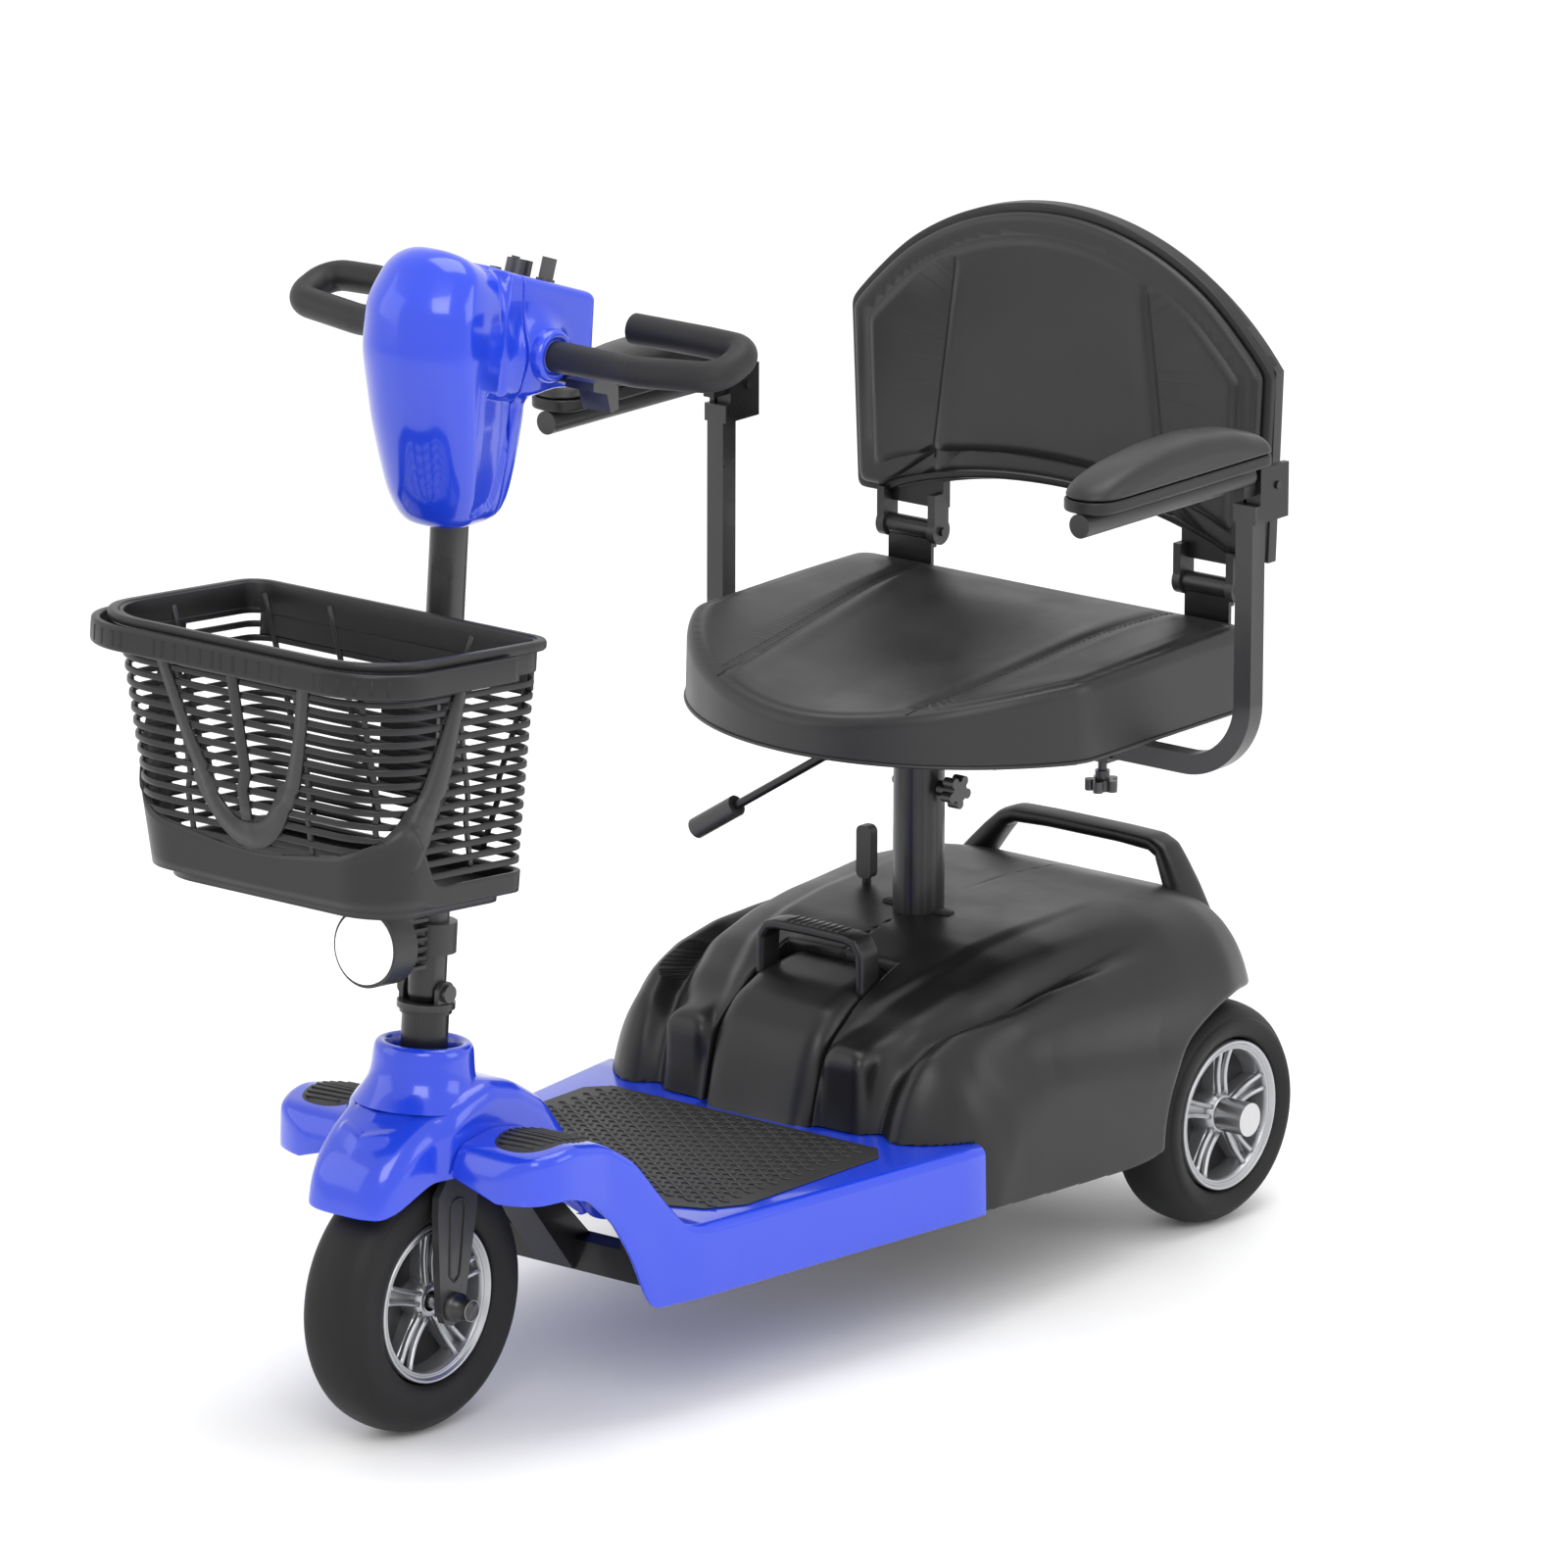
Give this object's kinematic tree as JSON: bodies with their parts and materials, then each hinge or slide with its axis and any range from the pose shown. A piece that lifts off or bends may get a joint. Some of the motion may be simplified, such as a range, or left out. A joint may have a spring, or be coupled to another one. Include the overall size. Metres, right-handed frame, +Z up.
{
  "type": "mobility scooter",
  "caption": "Mobility scooter with a steered front wheel, folding tiller, front basket, foot deck, lift-out battery and swivel seat with folding back and arms",
  "frame": {"origin": "on the ground, under the middle of the bounding box", "axes": "+Z up, the scooter drives towards -Y, the rider's left is +X"},
  "size_m": [0.635, 1.2225, 1.0077],
  "materials": {
    "frame_black": "satin black powder coat",
    "steel": "bare turned steel",
    "rim_silver": "silver painted cast alloy",
    "tyre": "solid black rubber, fine side grain",
    "blue_plastic": "glossy royal blue moulded plastic",
    "black_plastic": "satin black moulded plastic",
    "mat_rubber": "ribbed black rubber",
    "vinyl": "soft black vinyl with sewn seams",
    "foam_grip": "closed-cell black foam",
    "lens_clear": "clear moulded lens",
    "knob_black": "black moulded knob"
  },
  "bodies": {
    "chassis": {"main_frame": "frame_black", "headset_bearings": "steel", "deck_cover": "blue_plastic", "front_shroud": "blue_plastic", "floor_mat": "mat_rubber", "toe_pads": "mat_rubber", "rear_body_cover": "black_plastic", "rear_handle": "black_plastic", "transaxle_housing": "steel", "drive_motor": "black_plastic", "controller_box": "black_plastic", "seat_post_socket": "frame_black"},
    "battery": {"battery_case": "black_plastic", "battery_handle": "black_plastic"},
    "rear_wheel_left": {"rear_tyre_left": "tyre", "rear_rim_left": "rim_silver", "rear_axle_left": "steel"},
    "rear_wheel_right": {"rear_tyre_right": "tyre", "rear_rim_right": "rim_silver", "rear_axle_right": "steel"},
    "freewheel": {"freewheel_lever": "black_plastic"},
    "steering": {"fork": "frame_black", "steerer_tube": "frame_black", "front_axle": "steel", "tiller_pin": "steel"},
    "front_wheel": {"front_tyre": "tyre", "front_rim": "rim_silver"},
    "tiller": {"tiller_tube": "frame_black", "headlight_housing": "black_plastic", "headlight_lens": "lens_clear", "basket_bracket": "frame_black", "head_front_cover": "blue_plastic", "head_rear_cover": "blue_plastic", "handlebar": "frame_black", "grip_left": "foam_grip", "grip_right": "foam_grip"},
    "basket": {"basket": "black_plastic"},
    "basket_bail": {"basket_handle": "black_plastic"},
    "throttle": {"throttle_lever": "knob_black"},
    "speed_dial": {"speed_dial": "knob_black"},
    "key": {"key": "steel"},
    "horn_button": {"horn_button": "knob_black"},
    "seat_post": {"seat_post": "frame_black", "swivel_plate": "frame_black"},
    "seat": {"seat_pan": "black_plastic", "seat_cushion": "vinyl", "armrest_receiver": "frame_black", "backrest_brackets": "frame_black"},
    "swivel_latch": {"swivel_lever": "frame_black"},
    "backrest": {"backrest_shell": "black_plastic", "backrest_cushion": "vinyl"},
    "arm_left": {"armrest_post_left": "frame_black"},
    "arm_right": {"armrest_post_right": "frame_black"},
    "armrest_left": {"armrest_tube_left": "black_plastic", "armrest_pad_left": "vinyl"},
    "armrest_right": {"armrest_tube_right": "black_plastic", "armrest_pad_right": "vinyl"},
    "post_knob": {"post_knob": "knob_black"},
    "arm_knob_left": {"arm_knob_left": "knob_black"},
    "arm_knob_right": {"arm_knob_right": "knob_black"}
  },
  "joints": [
    {"name": "steering_turn", "type": "hinge", "parent": "chassis", "child": "steering", "pos_m": [0, -0.374, 0.114], "axis": [0, 0.0811, 0.9967], "range_deg": [-40, 40]},
    {"name": "front_wheel_spin", "type": "hinge", "parent": "steering", "child": "front_wheel", "pos_m": [0, -0.374, 0.114], "axis": [1, 0, 0], "continuous": true},
    {"name": "rear_wheel_left_spin", "type": "hinge", "parent": "chassis", "child": "rear_wheel_left", "pos_m": [0.16, 0.51, 0.1], "axis": [1, 0, 0], "continuous": true},
    {"name": "rear_wheel_right_spin", "type": "hinge", "parent": "chassis", "child": "rear_wheel_right", "pos_m": [-0.16, 0.51, 0.1], "axis": [1, 0, 0], "continuous": true},
    {"name": "tiller_fold", "type": "hinge", "parent": "steering", "child": "tiller", "pos_m": [0, -0.35275, 0.37514], "axis": [-1, 0, 0], "range_deg": [0, 36]},
    {"name": "basket_lift", "type": "slide", "parent": "tiller", "child": "basket", "axis": [0, 0.0811, 0.9967], "range_m": [0, 0.04]},
    {"name": "basket_handle_swing", "type": "hinge", "parent": "basket", "child": "basket_bail", "pos_m": [0, -0.43892, 0.69718], "axis": [-1, 0, 0], "range_deg": [0, 95]},
    {"name": "throttle_press", "type": "hinge", "parent": "tiller", "child": "throttle", "pos_m": [0, -0.2393, 0.8816], "axis": [1, 0, 0], "range_deg": [-12, 12], "stiffness_Nm_per_rad": 0.4},
    {"name": "speed_dial_turn", "type": "hinge", "parent": "tiller", "child": "speed_dial", "pos_m": [0, -0.23519, 0.95685], "axis": [0, 0.3261, 0.9453], "range_deg": [0, 270]},
    {"name": "key_turn", "type": "hinge", "parent": "tiller", "child": "key", "pos_m": [0.027, -0.23128, 0.9555], "axis": [0, 0.3261, 0.9453], "range_deg": [0, 90]},
    {"name": "horn_press", "type": "slide", "parent": "tiller", "child": "horn_button", "axis": [0, -0.3261, -0.9453], "range_m": [0, 0.002], "stiffness_N_per_m": 400},
    {"name": "seat_height", "type": "slide", "parent": "chassis", "child": "seat_post", "axis": [0, 0, 1], "range_m": [0, 0.06]},
    {"name": "seat_swivel", "type": "hinge", "parent": "seat_post", "child": "seat", "pos_m": [0, 0.307, 0.47], "axis": [0, 0, 1], "continuous": true},
    {"name": "swivel_lever_lift", "type": "hinge", "parent": "seat", "child": "swivel_latch", "pos_m": [-0.012, 0.201, 0.461], "axis": [0, 1, 0], "range_deg": [0, 10], "stiffness_Nm_per_rad": 2},
    {"name": "backrest_fold", "type": "hinge", "parent": "seat", "child": "backrest", "pos_m": [0, 0.505, 0.578], "axis": [1, 0, 0], "range_deg": [0, 88]},
    {"name": "arm_width_left", "type": "slide", "parent": "seat", "child": "arm_left", "axis": [1, 0, 0], "range_m": [0, 0.05]},
    {"name": "arm_width_right", "type": "slide", "parent": "seat", "child": "arm_right", "axis": [-1, 0, 0], "range_m": [0, 0.05]},
    {"name": "armrest_flip_left", "type": "hinge", "parent": "arm_left", "child": "armrest_left", "pos_m": [0.2905, 0.414, 0.706], "axis": [-1, 0, 0], "range_deg": [0, 95]},
    {"name": "armrest_flip_right", "type": "hinge", "parent": "arm_right", "child": "armrest_right", "pos_m": [-0.2905, 0.414, 0.706], "axis": [-1, 0, 0], "range_deg": [0, 95]},
    {"name": "post_knob_turn", "type": "hinge", "parent": "chassis", "child": "post_knob", "pos_m": [0.04, 0.307, 0.412], "axis": [1, 0, 0], "continuous": true},
    {"name": "arm_knob_left_turn", "type": "hinge", "parent": "seat", "child": "arm_knob_left", "pos_m": [0.135, 0.392, 0.417], "axis": [0, 0, 1], "continuous": true},
    {"name": "arm_knob_right_turn", "type": "hinge", "parent": "seat", "child": "arm_knob_right", "pos_m": [-0.135, 0.392, 0.417], "axis": [0, 0, 1], "continuous": true},
    {"name": "battery_lift", "type": "slide", "parent": "chassis", "child": "battery", "axis": [0, 0, 1], "range_m": [0, 0.12]},
    {"name": "freewheel_swing", "type": "hinge", "parent": "chassis", "child": "freewheel", "pos_m": [-0.082, 0.338, 0.16], "axis": [-1, 0, 0], "range_deg": [0, 8]}
  ]
}
